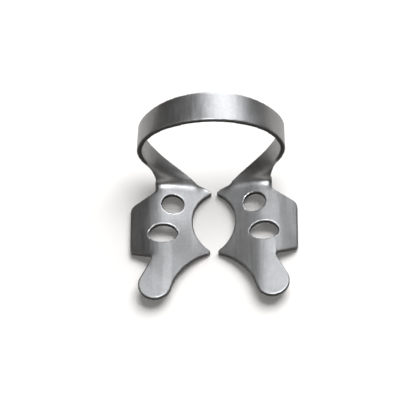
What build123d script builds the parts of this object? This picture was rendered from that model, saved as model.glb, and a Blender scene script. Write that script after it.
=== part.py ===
from build123d import *
import os
from math import cos, radians, sin, tan

# Rubber dam clamp: one blank of spring steel sheet, stamped, pierced and bent.
# X runs across the jaws, Y from the tongues at the front to the bow at the back, Z up.
# The origin is the middle of the tooth opening, on the plane that the prong tips stand on.

# Sheet
sheet = 0.9

# Prongs and tooth opening, with the prongs measured to their corners before rounding
prong_gap = 0.4
prong_span = 12.0
prong_round = 0.4
tooth_reach = 3.7

# Jaw slopes, seen from the front
grip_slope = 12.0
wing_slope = 18.0
crest_x = 9.0
crest_radius = 9.5

# Wing
wing_reach = 14.5
wing_front = 5.75
wing_back = 3.3
wing_front_round = 0.7
wing_back_round = 1.5

# Neck between the wing and the bow
neck_x = 10.2
neck_y = 5.7
neck_round = 1.2

# Tongue at the front of the jaw
tongue_inset = 4.4
tongue_y = 12.85
tongue_radius = 2.9
tongue_inner_angle = 195.0
tongue_outer_angle = 25.0
notch_depth = 4.1
notch_y = 7.2
notch_round = 0.8

# Holes
round_hole = 3.8
round_hole_x = 7.1
round_hole_y = 3.2
oval_length = 5.0
oval_width = 3.6
oval_x = 8.75
oval_y = 2.7

# Fold between the jaw and the bow, and how far the jaw's sheet reaches past the bow's foot
fold_inner_x = 2.2
fold_inner_y = 7.1
fold_outer_x = 10.0
fold_outer_y = 8.0
fold_lap = 0.5
fold_inner_margin = 0.25
fold_outer_margin = 0.15
fold_round = 0.6
fold_root = 1.0
fold_bend = 1.2

# Bow, measured to the middle of its sheet on its front edge and its back edge
front_half_width = 12.4
front_height = 18.05
front_side_height = 10.0
front_y = 9.8
front_side_y = 9.1
back_half_width = 12.2
back_drop = 0.4
back_side_height = 8.7
back_y = 15.7
back_side_y = 13.9
arch_angles = (90, 60, 30, 0)

# Flank, where the bow twists into the fold: two places on each edge, low and high
flank_front_low = (10.35, 8.25, 4.4)
flank_front_high = (11.6, 8.7, 7.2)
flank_back_low = (5.0, 8.95, 2.55)
flank_back_high = (9.6, 12.0, 4.85)

prong_x = prong_gap / 2
prong_y = prong_span / 2
fold_inner_corner = (fold_inner_x - fold_inner_margin, fold_inner_y + fold_lap)
fold_outer_corner = (fold_outer_x + fold_outer_margin, fold_outer_y + fold_lap)
back_height = front_height - back_drop
tongue_x = wing_reach - tongue_inset
notch_x = wing_reach - notch_depth
blank = 20.0

# Outline of the right jaw in plan, with its corners rounded and its holes pierced
with BuildSketch() as outline:
    with BuildLine():
        tongue_tip = CenterArc(
            (tongue_x, -tongue_y),
            tongue_radius,
            tongue_inner_angle,
            360 + tongue_outer_angle - tongue_inner_angle,
        )
        TangentArc(tongue_tip @ 0, (prong_x, -prong_y), tangent=(tongue_tip % 0) * -1)
        ThreePointArc((prong_x, -prong_y), (tooth_reach, 0), (prong_x, prong_y))
        Polyline(
            (prong_x, prong_y),
            fold_inner_corner,
            fold_outer_corner,
            (neck_x, neck_y),
            (wing_reach, wing_back),
            (wing_reach, -wing_front),
            (notch_x, -notch_y),
            tongue_tip @ 1,
        )
    make_face()
    for corner, radius in (
        ((prong_x, -prong_y), prong_round),
        ((prong_x, prong_y), prong_round),
        (fold_inner_corner, fold_round),
        (fold_outer_corner, fold_round),
        ((neck_x, neck_y), neck_round),
        ((wing_reach, wing_back), wing_back_round),
        ((wing_reach, -wing_front), wing_front_round),
        ((notch_x, -notch_y), notch_round),
    ):
        fillet(outline.vertices().sort_by_distance(corner)[0], radius)
    with Locations((round_hole_x, round_hole_y)):
        Circle(round_hole / 2, mode=Mode.SUBTRACT)
    with Locations((oval_x, -oval_y)):
        Ellipse(oval_length / 2, oval_width / 2, mode=Mode.SUBTRACT)

# Jaw section: the top face of the sheet, from the prong to the wing or the tongue
tip_x = outline.sketch.bounding_box().min.X
prong_top = sheet / cos(radians(grip_slope))
grip_end_x = crest_x - crest_radius * sin(radians(grip_slope))
grip_end_z = prong_top + (grip_end_x - tip_x) * tan(radians(grip_slope))
crest_z = grip_end_z + crest_radius * (1 - cos(radians(grip_slope)))

with BuildPart() as jaw:
    # Back length of the jaw: slope up from the prongs, round crest, slope down to the wing
    with BuildSketch(Plane.XZ.offset(notch_y)) as wing_section:
        with BuildLine():
            crest = (crest_x, crest_z)
            rise = JernArc(crest, (-1, 0), crest_radius, grip_slope)
            fall = JernArc(crest, (1, 0), crest_radius, -wing_slope)
            PolarLine(rise @ 1, blank, direction=rise % 1)
            PolarLine(fall @ 1, blank, direction=fall % 1)
            offset(amount=sheet, side=Side.LEFT)
        make_face()
    extrude(amount=-blank)
    # Front length of the jaw: the same slope, then level for the tongue
    with BuildSketch(Plane.XZ.offset(notch_y)) as tongue_section:
        with BuildLine():
            rise = JernArc(crest, (-1, 0), crest_radius, grip_slope)
            PolarLine(rise @ 1, blank, direction=rise % 1)
            Line(crest, (crest_x + blank, crest_z))
            offset(amount=sheet, side=Side.LEFT)
        make_face()
    extrude(amount=blank)
    extrude(outline.sketch, amount=blank, both=True, mode=Mode.INTERSECT)


def arch(angle, half_width, height, side_height, y, side_y):
    """A point of the bow's arch, the angle measured from the top of the arch."""
    across = sin(radians(angle))
    up = cos(radians(angle))
    return Vector(
        half_width * across,
        side_y + (y - side_y) * up,
        side_height + (height - side_height) * up,
    )


def sheet_middle(x):
    """Height of the middle of the jaw's sheet at a place between the prong and the crest."""
    if x < grip_end_x:
        return prong_top / 2 + (x - tip_x) * tan(radians(grip_slope))
    return crest_z - crest_radius + ((crest_radius - sheet / 2) ** 2 - (x - crest_x) ** 2) ** 0.5


# Edge curves of the bow, each from the right fold over the top to the left fold
front_fold = Vector(fold_outer_x, fold_outer_y, sheet_middle(fold_outer_x))
back_fold = Vector(fold_inner_x, fold_inner_y, sheet_middle(fold_inner_x))
front_arch = [
    arch(angle, front_half_width, front_height, front_side_height, front_y, front_side_y)
    for angle in arch_angles
]
back_arch = [
    arch(angle, back_half_width, back_height, back_side_height, back_y, back_side_y)
    for angle in arch_angles
]
front_flank = [Vector(*flank_front_low), Vector(*flank_front_high)]
back_flank = [Vector(*flank_back_low), Vector(*flank_back_high)]
front_root = front_fold + (front_fold - front_flank[0]).normalized() * fold_root
back_root = back_fold + (back_fold - back_flank[0]).normalized() * fold_root
front_points = [front_root] + front_flank + front_arch
back_points = [back_root] + back_flank + back_arch
front_points += [Vector(-p.X, p.Y, p.Z) for p in reversed(front_points[:-1])]
back_points += [Vector(-p.X, p.Y, p.Z) for p in reversed(back_points[:-1])]

# Both curves share their stations, so that the band between them is ruled straight across
stations = [0.0]
for i in range(1, len(front_points)):
    front_step = (front_points[i] - front_points[i - 1]).length
    back_step = (back_points[i] - back_points[i - 1]).length
    stations.append(stations[-1] + front_step + back_step)
front_edge = Edge.make_spline(front_points, parameters=stations)
back_edge = Edge.make_spline(back_points, parameters=stations)
band = Face.make_surface_from_curves(front_edge, back_edge)

# Room above the middle of the jaw's sheet, which cuts the foot of the bow
with BuildPart() as room:
    with BuildSketch(Plane.XZ):
        with BuildLine():
            middle = (crest_x, crest_z - sheet / 2)
            rise = JernArc(middle, (-1, 0), crest_radius - sheet / 2, grip_slope)
            Polyline(
                rise @ 1,
                (0, sheet_middle(0)),
                (0, 2 * blank),
                (crest_x + blank, 2 * blank),
                (crest_x + blank, crest_z - sheet / 2),
                middle,
            )
        make_face()
    extrude(amount=blank, both=True)
    mirror(about=Plane.YZ)

with BuildPart() as bow:
    thicken(band, amount=sheet / 2, both=True)
    add(room.part, mode=Mode.INTERSECT)

with BuildPart() as clamp:
    add(jaw.part)
    mirror(about=Plane.YZ)
    add(bow.part)
    # Bend in the crook of the fold, between the jaw's top and the flank
    for side in (1, -1):
        crook = (side * (grip_end_x + fold_outer_x) / 2, fold_outer_y - sheet / 2, crest_z)
        fillet(clamp.edges().sort_by_distance(crook)[0], fold_bend)

os.makedirs("parts", exist_ok=True)
clamp.part.label = "clamp"
export_step(clamp.part, "parts/clamp.step")
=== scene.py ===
"""Rubber dam clamp in satin steel, standing on its prongs on a pale table."""

from math import cos, radians, sin

import bmesh
import bpy
import numpy as np
from mathutils import Matrix, Vector
from mathutils.bvhtree import BVHTree


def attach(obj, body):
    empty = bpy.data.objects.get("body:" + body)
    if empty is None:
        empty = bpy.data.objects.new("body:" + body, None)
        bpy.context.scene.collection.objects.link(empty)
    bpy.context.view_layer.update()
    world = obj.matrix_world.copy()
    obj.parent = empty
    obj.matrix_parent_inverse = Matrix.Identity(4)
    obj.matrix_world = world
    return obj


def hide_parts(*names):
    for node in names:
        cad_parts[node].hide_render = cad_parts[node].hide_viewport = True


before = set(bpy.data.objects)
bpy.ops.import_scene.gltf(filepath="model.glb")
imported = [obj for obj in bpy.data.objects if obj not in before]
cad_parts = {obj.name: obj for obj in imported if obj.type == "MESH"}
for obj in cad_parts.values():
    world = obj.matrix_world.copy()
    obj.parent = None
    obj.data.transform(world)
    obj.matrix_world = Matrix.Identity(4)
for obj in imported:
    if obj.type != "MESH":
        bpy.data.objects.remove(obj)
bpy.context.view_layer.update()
scene = bpy.context.scene

MM = 0.001

# Skin of the clamp: its grid, and the passes that roll its edges over, in millimetres
CELL = 0.145
MERGE_DISTANCE = 0.002
ROLLING_PASSES = 9
INWARD_SHARE = 0.5
OUTWARD_SHARE = -0.46

# Height of a full rim above the mean of its neighbours, in cells
RIM_HEIGHT = 0.14

# Lines on the right jaw where the skin is eased, each with its reach, and the places along Y
# at which the front of the fold begins and is complete
FOLD = ((2.4, 7.4, 1.7), (9.6, 7.9, 2.9))
FOLD_REACH = 2.6
FOLD_FRONT = (7.2, 6.8)
FOLD_END = ((1.9, 7.4, 1.4), (2.3, 7.8, 1.6))
FOLD_END_REACH = 1.0
NOTCH = ((9.2, -7.2, 2.6), (10.6, -7.2, 2.6))
NOTCH_REACH = 2.6
EASING_PASSES = 60
EASING_SHARE = 0.9

# Parts of a normal at which a face begins to count as facing front or lying level, and fully does
FRONT_NORMALS = (0, -0.5)
LEVEL_NORMALS = (0.8, 1.0)

# Depth of steel behind a point at which it begins to count as sheared, and at which it fully does
SHEARED_DEPTHS = (1.6, 2.1)
DEEPEST = 10.0
START_DEPTH = 0.05
SLANT = (0.031, 0.017, 0.023)
BLUR_PASSES = 3
BLUR_SHARE = 0.7
BLUR_GAIN = 1.5

# Colours of the steel
STEEL_DARK = (0.212, 0.207, 0.203, 1)
STEEL_PALE = (0.292, 0.292, 0.292, 1)
# Paler rims: a painted highlight along the rolled edges
RIM_PAINTED_HIGHLIGHT = (0.34, 0.34, 0.34, 1)
# Sheared faces: partly their own rough sheared steel, partly painted shade
SHEARED_AND_SHADE_DARK = (0.055, 0.052, 0.050, 1)

# Table
TABLE_PALE = (0.88, 0.874, 0.866, 1)
TABLE_GLOW = 0.09

# Colours of the lamps
COOL = (0.93, 0.96, 1.0)
WARM = (1, 0.98, 0.96)
NEUTRAL = (1, 0.995, 0.99)


def ramp(values, none, full):
    """Nought at none, one at full, and straight between them, whichever of the two is greater."""
    return np.clip((values - none) / (full - none), 0, 1)


def near_line(points, line, reach):
    """One within half the reach of a line or of its mirror image, falling to nought at the reach."""
    start, end = np.array(line)
    along = end - start
    places = np.column_stack((np.abs(points[:, 0]), points[:, 1:])) - start
    share = np.clip(places @ along / (along @ along), 0, 1)[:, None]
    away = np.linalg.norm(places - share * along, axis=1)
    return ramp(away, reach, reach / 2)


def keep(mesh, name, values):
    """Values, clipped to between nought and one, kept on the points of the mesh for its material."""
    clipped = np.clip(values, 0, 1).astype(np.float32)
    mesh.attributes.new(name, "FLOAT", "POINT").data.foreach_set("value", clipped)


def even_skin(node):
    """Piece with a skin of even small squares over the node's own solid, still in millimetres."""
    mesh = node.data.copy()
    solid = bmesh.new()
    solid.from_mesh(mesh)
    bmesh.ops.remove_doubles(solid, verts=solid.verts, dist=MERGE_DISTANCE * MM)
    bmesh.ops.scale(solid, vec=(1 / MM, 1 / MM, 1 / MM), verts=solid.verts)
    solid.to_mesh(mesh)
    solid.free()
    piece = bpy.data.objects.new("clamp_steel", mesh)
    scene.collection.objects.link(piece)
    grid = piece.modifiers.new("even_skin", "REMESH")
    grid.mode = "VOXEL"
    grid.voxel_size = CELL
    finished = piece.evaluated_get(bpy.context.evaluated_depsgraph_get())
    skin = bpy.data.meshes.new_from_object(finished)
    piece.modifiers.clear()
    piece.data = skin
    return piece


def rolled_steel(node):
    """Even skin over the node's solid, with its sheared edges rolled over.

    Each point moves towards the mean of its neighbours, and back out by a little less than that move,
    pass after pass, which rounds edges and leaves flat sheet where it is. A point's rim is how far it
    stands out from the mean of its neighbours: nought on flat sheet and one on an edge. Close to the
    folds and the notches, points that are no rim then move only towards the mean, which eases the crook
    of the fold and the step between wing and tongue. At a fold's inner end its rims are eased too. A
    point is sheared where the steel behind it is deeper than the sheet is thick, so on the narrow faces
    of the blank.
    """
    piece = even_skin(node)
    skin = piece.data
    count = len(skin.vertices)
    points = np.empty(count * 3, np.float32)
    skin.vertices.foreach_get("co", points)
    points = points.reshape(-1, 3).astype(float)
    ends = np.empty(len(skin.edges) * 2, np.int32)
    skin.edges.foreach_get("vertices", ends)
    first, second = ends.reshape(-1, 2).T
    neighbours = np.bincount(ends, minlength=count)[:, None]

    def towards_mean(values, share):
        """Each point's values, moved by a share of the way to the mean of its neighbours' values."""
        total = np.zeros_like(values)
        for axis in range(values.shape[1]):
            total[:, axis] += np.bincount(first, values[second, axis], count)
            total[:, axis] += np.bincount(second, values[first, axis], count)
        return values + share * (total / neighbours - values)

    def settle(points):
        """Points put into the skin, in metres, which gives its normals and its rims."""
        skin.vertices.foreach_set("co", (points * MM).astype(np.float32).ravel())
        skin.update()
        normals = np.empty(count * 3, np.float32)
        skin.vertex_normals.foreach_get("vector", normals)
        normals = normals.reshape(-1, 3)
        stands_out = ((points - towards_mean(points, 1.0)) * normals).sum(1) / CELL
        return normals, ramp(stands_out, 0, RIM_HEIGHT)

    for _ in range(ROLLING_PASSES):
        points = towards_mean(points, INWARD_SHARE)
        points = towards_mean(points, OUTWARD_SHARE)

    # The crook is eased on its upper side, in front of the bow, and the notch on its level faces
    normals, rim = settle(points)
    faces_front = ramp(normals[:, 1], *FRONT_NORMALS)
    lies_front = ramp(points[:, 1], *FOLD_FRONT)
    crook = np.maximum(faces_front, lies_front) * (normals[:, 2] > 0)
    level = ramp(np.abs(normals[:, 2]), *LEVEL_NORMALS)
    at_fold = near_line(points, FOLD, FOLD_REACH) * crook
    at_notch = near_line(points, NOTCH, NOTCH_REACH) * level
    at_fold_end = near_line(points, FOLD_END, FOLD_END_REACH)
    eased = np.maximum(np.maximum(at_fold, at_notch) * (1 - rim), at_fold_end)[:, None]
    for _ in range(EASING_PASSES):
        points = towards_mean(points, EASING_SHARE * eased)

    normals, rim = settle(points)
    keep(skin, "rim", rim)
    skin.polygons.foreach_set("use_smooth", np.ones(len(skin.polygons), bool))

    # Rays start just under the skin, and lean a little so that they don't slip out between faces
    tree = BVHTree.FromPolygons(points.tolist(), [face.vertices[:] for face in skin.polygons])
    starts = points - normals * START_DEPTH
    inwards = np.array(SLANT) - normals
    depths = [tree.ray_cast(start, inward, DEEPEST)[3] or DEEPEST for start, inward in zip(starts, inwards)]
    sheared = ramp(np.array(depths), *SHEARED_DEPTHS)[:, None]
    for _ in range(BLUR_PASSES):
        sheared = towards_mean(sheared, BLUR_SHARE)
    keep(skin, "sheared", BLUR_GAIN * sheared[:, 0])
    return piece


def satin_steel():
    """Stainless sheet: cloudy satin with fine grain, faint brushing from front to back, and worked edges.

    The rims are painted paler, a painted highlight, and the sheared faces of the blank are painted dark,
    partly their own rough sheared steel and partly painted shade.
    """
    material = bpy.data.materials.new("satin_steel")
    material.use_nodes = True
    nodes = material.node_tree.nodes
    links = material.node_tree.links
    shader = nodes["Principled BSDF"]
    shader.inputs["Metallic"].default_value = 1.0
    place = nodes.new("ShaderNodeTexCoord")

    def noise(scale, detail, stretch=(1, 1, 1)):
        """Noise on the piece's own coordinates, drawn out where stretch is small."""
        pull = nodes.new("ShaderNodeMapping")
        pull.inputs["Scale"].default_value = stretch
        links.new(place.outputs["Object"], pull.inputs["Vector"])
        texture = nodes.new("ShaderNodeTexNoise")
        texture.inputs["Scale"].default_value = scale
        texture.inputs["Detail"].default_value = detail
        links.new(pull.outputs["Vector"], texture.inputs["Vector"])
        return texture.outputs["Fac"]

    def spread(value, span, target):
        """Value within a span, spread over the target's range."""
        node = nodes.new("ShaderNodeMapRange")
        node.inputs["From Min"].default_value = span[0]
        node.inputs["From Max"].default_value = span[1]
        node.inputs["To Min"].default_value = target[0]
        node.inputs["To Max"].default_value = target[1]
        links.new(value, node.inputs["Value"])
        return node.outputs["Result"]

    def added(first, second):
        """Two values added up."""
        node = nodes.new("ShaderNodeMath")
        node.operation = "ADD"
        links.new(first, node.inputs[0])
        links.new(second, node.inputs[1])
        return node.outputs[0]

    def blend(share, colour, other):
        """Colour that turns into the other one as the share rises to one."""
        node = nodes.new("ShaderNodeMix")
        node.data_type = "RGBA"
        node.inputs["B"].default_value = other
        links.new(share, node.inputs["Factor"])
        links.new(colour, node.inputs["A"])
        return node.outputs["Result"]

    def mask(name):
        """Value from nought to one that the skin keeps under a name."""
        node = nodes.new("ShaderNodeAttribute")
        node.attribute_name = name
        return node.outputs["Fac"]

    clouds = noise(scale=240.0, detail=4.0)
    specks = noise(scale=2600.0, detail=3.0)
    brushing = noise(scale=2400.0, detail=2.0, stretch=(1, 0.06, 1))
    cloud_span = (0.3, 0.75)
    grain_span = (0.3, 0.7)
    rim = mask("rim")
    sheared = mask("sheared")

    tone = nodes.new("ShaderNodeValToRGB")
    tone.color_ramp.elements[0].color = STEEL_DARK
    tone.color_ramp.elements[1].color = STEEL_PALE
    mottle = added(spread(clouds, cloud_span, (0.0, 0.4)), spread(specks, grain_span, (0.0, 0.42)))
    mottle = added(mottle, spread(brushing, grain_span, (0.0, 0.18)))
    links.new(mottle, tone.inputs["Fac"])
    # Rims painted paler: a painted highlight along the edges
    rim_highlighted = blend(rim, tone.outputs["Color"], RIM_PAINTED_HIGHLIGHT)
    # Sheared faces painted dark: partly their own rough steel, partly painted shade
    links.new(blend(sheared, rim_highlighted, SHEARED_AND_SHADE_DARK), shader.inputs["Base Color"])

    satin = added(spread(clouds, cloud_span, (0.37, 0.43)), spread(brushing, grain_span, (-0.03, 0.04)))
    links.new(added(satin, spread(rim, (0.0, 1.0), (0.0, -0.03))), shader.inputs["Roughness"])

    height = added(spread(brushing, grain_span, (0.0, 0.7)), spread(specks, grain_span, (0.0, 0.5)))
    bump = nodes.new("ShaderNodeBump")
    bump.inputs["Strength"].default_value = 0.35
    bump.inputs["Distance"].default_value = 0.012 * MM
    links.new(height, bump.inputs["Height"])
    links.new(bump.outputs["Normal"], shader.inputs["Normal"])
    return material


clamp = rolled_steel(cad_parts["clamp"])
clamp.data.materials.clear()
clamp.data.materials.append(satin_steel())
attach(clamp, "root")
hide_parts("clamp")


def table_white():
    """Matt white with a faint glow, which the camera sees, and the steel too."""
    material = bpy.data.materials.new("table_white")
    material.use_nodes = True
    nodes = material.node_tree.nodes
    links = material.node_tree.links
    shader = nodes["Principled BSDF"]
    shader.inputs["Roughness"].default_value = 0.9
    shader.inputs["Specular IOR Level"].default_value = 0.1
    shader.inputs["Base Color"].default_value = TABLE_PALE
    shader.inputs["Emission Color"].default_value = (1, 1, 1, 1)
    rays = nodes.new("ShaderNodeLightPath")
    seen = rays.outputs["Is Camera Ray"]
    for way in ("Is Glossy Ray", "Is Transmission Ray"):
        either = nodes.new("ShaderNodeMath")
        either.operation = "ADD"
        links.new(seen, either.inputs[0])
        links.new(rays.outputs[way], either.inputs[1])
        seen = either.outputs[0]
    glow = nodes.new("ShaderNodeMath")
    glow.operation = "MULTIPLY"
    glow.inputs[1].default_value = TABLE_GLOW
    links.new(seen, glow.inputs[0])
    links.new(glow.outputs[0], shader.inputs["Emission Strength"])
    return material


def table_top():
    """Pale table: a flat square, seen as white, that keeps the clamp's soft shadow."""
    half = 1.5
    corners = [(-half, -half, 0), (half, -half, 0), (half, half, 0), (-half, half, 0)]
    mesh = bpy.data.meshes.new("table")
    mesh.from_pydata(corners, [], [(0, 1, 2, 3)])
    mesh.materials.append(table_white())
    table = bpy.data.objects.new("table", mesh)
    scene.collection.objects.link(table)


table_top()


def softbox(name, across, rise, away, width, height, power, colour):
    """Flat lamp that faces the clamp from a direction given by two angles, in degrees.

    across turns it to the right. rise lifts it from level at the back, by way of overhead at 90, to
    level at the front at 180. away is its distance from the origin.
    """
    lamp = bpy.data.lights.new(name, "AREA")
    lamp.shape = "RECTANGLE"
    lamp.size = width
    lamp.size_y = height
    lamp.energy = power
    lamp.color = colour
    holder = bpy.data.objects.new(name, lamp)
    scene.collection.objects.link(holder)
    side = radians(across)
    lift = radians(rise)
    direction = Vector((sin(side), cos(side) * cos(lift), cos(side) * sin(lift)))
    holder.location = direction * away
    holder.rotation_euler = direction.to_track_quat("Z", "Y").to_euler()
    return holder


# Three lamps that show in the steel, and one that lights the table and casts the shadow
near = 0.6
far = 0.9
steel_lamps = (
    softbox("jaw_lamp", across=5, rise=85, away=near, width=0.20, height=0.20, power=3.5, colour=COOL),
    softbox("bow_lamp", across=9, rise=35, away=near, width=0.25, height=0.20, power=2.5, colour=COOL),
    softbox("front_lamp", across=0, rise=157, away=near, width=0.60, height=0.18, power=0.55, colour=WARM),
)
for lamp in steel_lamps:
    lamp.visible_diffuse = False
table_lamp = softbox(
    "table_lamp", across=16, rise=57, away=far, width=0.80, height=0.80, power=12.9, colour=NEUTRAL
)
table_lamp.visible_glossy = False


def studio_air():
    """Dim warm studio, darkest halfway up, with a pale wall low down in front of the table."""
    world = bpy.data.worlds.new("studio")
    scene.world = world
    world.use_nodes = True
    nodes = world.node_tree.nodes
    links = world.node_tree.links
    place = nodes.new("ShaderNodeTexCoord")
    split = nodes.new("ShaderNodeSeparateXYZ")
    links.new(place.outputs["Generated"], split.inputs["Vector"])

    # Brightness at heights from the horizon, nought, to overhead, one
    levels = ((0.0, 0.13), (0.45, 0.05), (0.75, 0.12), (1.0, 0.22))
    tint = (1, 0.94, 0.88)
    wall_colour = (0.42, 0.41, 0.40, 1)
    sky = nodes.new("ShaderNodeValToRGB")
    stops = sky.color_ramp.elements
    for position, _ in levels[1:-1]:
        stops.new(position)
    for stop, (_, level) in zip(stops, levels):
        stop.color = (*(level * part for part in tint), 1)
    links.new(split.outputs["Z"], sky.inputs["Fac"])

    def fade(axis, none, full):
        """Share that rises from nought to one as the direction turns along an axis."""
        node = nodes.new("ShaderNodeMapRange")
        node.inputs["From Min"].default_value = none
        node.inputs["From Max"].default_value = full
        links.new(split.outputs[axis], node.inputs["Value"])
        return node.outputs["Result"]

    low_front = nodes.new("ShaderNodeMath")
    low_front.operation = "MULTIPLY"
    links.new(fade("Y", 0.1, -0.5), low_front.inputs[0])
    links.new(fade("Z", 0.55, 0.25), low_front.inputs[1])
    wall = nodes.new("ShaderNodeMix")
    wall.data_type = "RGBA"
    wall.inputs["B"].default_value = wall_colour
    links.new(low_front.outputs[0], wall.inputs["Factor"])
    links.new(sky.outputs["Color"], wall.inputs["A"])
    links.new(wall.outputs["Result"], nodes["Background"].inputs["Color"])


studio_air()


def photo_camera():
    """Long lens at the photograph's angle: 58 degrees up, from the tongues' side, leaning 3.5 degrees.

    The aim lies over the origin, and then a step to the left and a step up in the picture. These three
    lengths, the angles and the width of the view were fitted to the photograph's outlines.
    """
    lift = radians(58)
    lean = radians(3.5)
    view_width = 72.1 * MM
    distance = 0.6
    sensor = 36
    over_origin = 0.9 * MM
    step_left = 1.057 * MM
    step_up = 2.513 * MM
    right = Vector((cos(lean), 0, -sin(lean)))
    up = Vector((cos(lift) * sin(lean), sin(lift), cos(lift) * cos(lean)))
    back = right.cross(up)
    aim = Vector((0, 0, over_origin)) - right * step_left + up * step_up
    data = bpy.data.cameras.new("photo_camera")
    data.sensor_width = sensor
    data.lens = sensor * distance / view_width
    data.clip_start = 0.01
    camera = bpy.data.objects.new("photo_camera", data)
    scene.collection.objects.link(camera)
    turn = Matrix((right, up, back)).transposed().to_4x4()
    camera.matrix_world = Matrix.Translation(aim + back * distance) @ turn
    scene.camera = camera


photo_camera()
scene.view_settings.view_transform = "Standard"
